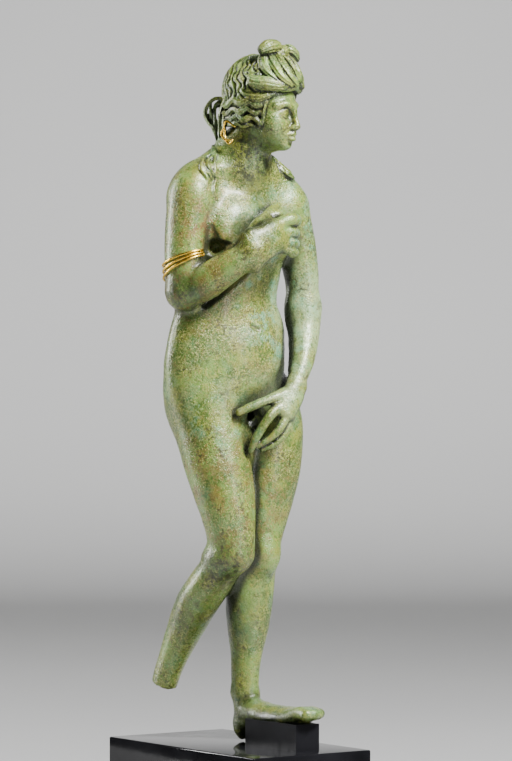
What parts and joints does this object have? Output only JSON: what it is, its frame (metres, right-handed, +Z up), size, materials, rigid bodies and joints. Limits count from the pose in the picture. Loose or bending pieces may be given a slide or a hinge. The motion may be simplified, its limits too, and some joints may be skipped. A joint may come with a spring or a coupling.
{
  "type": "bronze statuette",
  "caption": "Small ancient bronze of a standing nude goddess with gold wire jewellery, one lower leg broken off, shown on a glossy black block with a toe rest.",
  "frame": {"origin": "middle of the block's underside, where the object rests", "axes": "+Z up, -Y the way the figure's body faces, +X towards the figure's left side"},
  "size_m": [0.0637, 0.088, 0.2702],
  "materials": {
    "bronze": "cast bronze under a mottled green, brown and sandy patina, satin",
    "gold_wire": "bright yellow gold wire",
    "black_gloss": "polished black acrylic"
  },
  "bodies": {
    "root": {"figure": "bronze", "armlet": "gold_wire", "earring": "gold_wire", "foot_prop": "black_gloss", "base_block": "black_gloss"}
  },
  "joints": []
}
